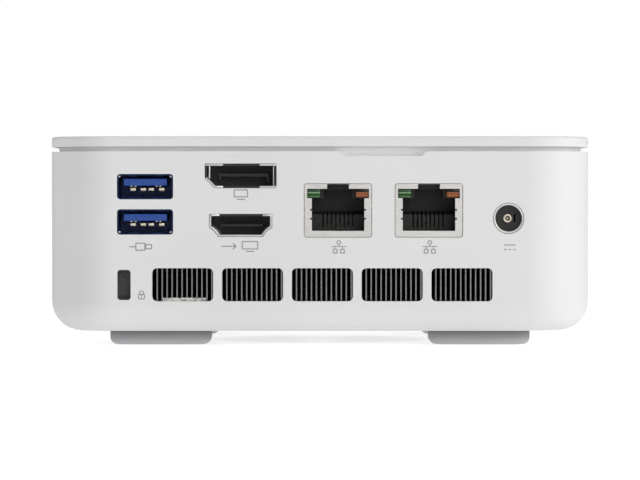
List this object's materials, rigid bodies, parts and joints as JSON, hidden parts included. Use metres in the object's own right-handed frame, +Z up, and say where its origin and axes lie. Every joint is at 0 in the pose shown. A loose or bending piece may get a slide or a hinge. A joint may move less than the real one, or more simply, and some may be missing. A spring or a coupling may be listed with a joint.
{
  "type": "mini computer",
  "caption": "Square desktop mini computer with rounded corners, a lift-off lid, rubber feet, rear and front sockets, rear exhaust openings over a fin stack, and a blower inside.",
  "frame": {"origin": "middle of the footprint, on the surface that the feet stand on", "axes": "+X along the rear panel, to the right as one faces that panel; +Y from the rear panel to the front panel; +Z up"},
  "size_m": [0.128, 0.128, 0.0495],
  "materials": {
    "case_plastic": "fine moulded texture",
    "foot_rubber": "matt",
    "screw_steel": "zinc plated",
    "brass": "turned",
    "light_plastic": "milky, glossy",
    "black_plastic": "moulded",
    "connector_steel": "nickel plated sheet",
    "usb_steel": "black nickel",
    "blue_plastic": "moulded",
    "contact_gold": "gold plated",
    "green_light": "clear tinted",
    "amber_light": "clear tinted",
    "dark_steel": "black coated",
    "circuit_board": "solder mask",
    "chip_black": "moulded resin",
    "coil_grey": "pressed ferrite",
    "can_aluminium": "drawn",
    "cell_steel": "nickel plated",
    "antenna_foil": "film",
    "cable_black": "smooth jacket",
    "copper": "bare copper",
    "fin_aluminium": "stamped",
    "tray_steel": "zinc coated sheet",
    "drive_case": "satin",
    "ribbon_film": "amber film"
  },
  "bodies": {
    "case": {"body_shell": "case_plastic", "base_cover": "case_plastic", "rubber_feet": "foot_rubber", "base_screws": "screw_steel", "bracket_inserts": "brass", "button_light_ring": "light_plastic", "power_switch": "black_plastic", "rear_usb_block": "black_plastic", "rear_usb_shells": "usb_steel", "rear_usb_tongues": "blue_plastic", "rear_usb_contacts": "contact_gold", "video_port_block": "black_plastic", "video_port_shells": "connector_steel", "video_port_tongues": "black_plastic", "lan_jack_shields": "connector_steel", "lan_jack_housings": "black_plastic", "lan_green_lights": "green_light", "lan_amber_lights": "amber_light", "lan_contacts": "contact_gold", "dc_jack_body": "black_plastic", "dc_jack_sleeve": "connector_steel", "dc_jack_pin": "contact_gold", "lock_bracket": "dark_steel", "front_port_shells": "usb_steel", "front_usb_tongues": "blue_plastic", "usb_c_tongue": "black_plastic", "audio_jack": "black_plastic", "main_board": "circuit_board", "board_screws": "screw_steel", "tray_standoffs": "brass", "processor": "circuit_board", "power_coils": "coil_grey", "capacitors": "can_aluminium", "board_chips": "chip_black", "memory_sockets": "black_plastic", "memory_modules": "circuit_board", "ssd_socket": "black_plastic", "ssd_module": "circuit_board", "module_chips": "chip_black", "wifi_card": "circuit_board", "wifi_antennas": "antenna_foil", "antenna_cables": "cable_black", "coin_cell": "cell_steel", "heat_spreader": "copper", "heat_pipes": "copper", "fin_stack": "fin_aluminium", "cooler_screws": "screw_steel", "fan_housing": "black_plastic", "fan_cover": "can_aluminium", "fan_stator": "copper", "fan_wires": "cable_black", "drive_tray": "tray_steel", "solid_state_drive": "drive_case", "drive_screws": "screw_steel", "drive_cable": "ribbon_film"},
    "lid": {"lid": "case_plastic"},
    "button": {"power_button": "case_plastic", "switch_plunger": "black_plastic"},
    "fan_wheel": {"fan_rotor": "black_plastic", "fan_shaft": "screw_steel"}
  },
  "joints": [
    {"name": "lid_lift", "type": "slide", "parent": "case", "child": "lid", "axis": [0, 0, 1], "range_m": [0, 0.03]},
    {"name": "power_press", "type": "slide", "parent": "case", "child": "button", "axis": [0, -1, 0], "range_m": [0, 0.0005], "stiffness_N_per_m": 800, "springref_m": -0.0003},
    {"name": "fan_spin", "type": "hinge", "parent": "case", "child": "fan_wheel", "pos_m": [0, -0.006, 0.014], "axis": [0, 0, 1], "continuous": true}
  ]
}
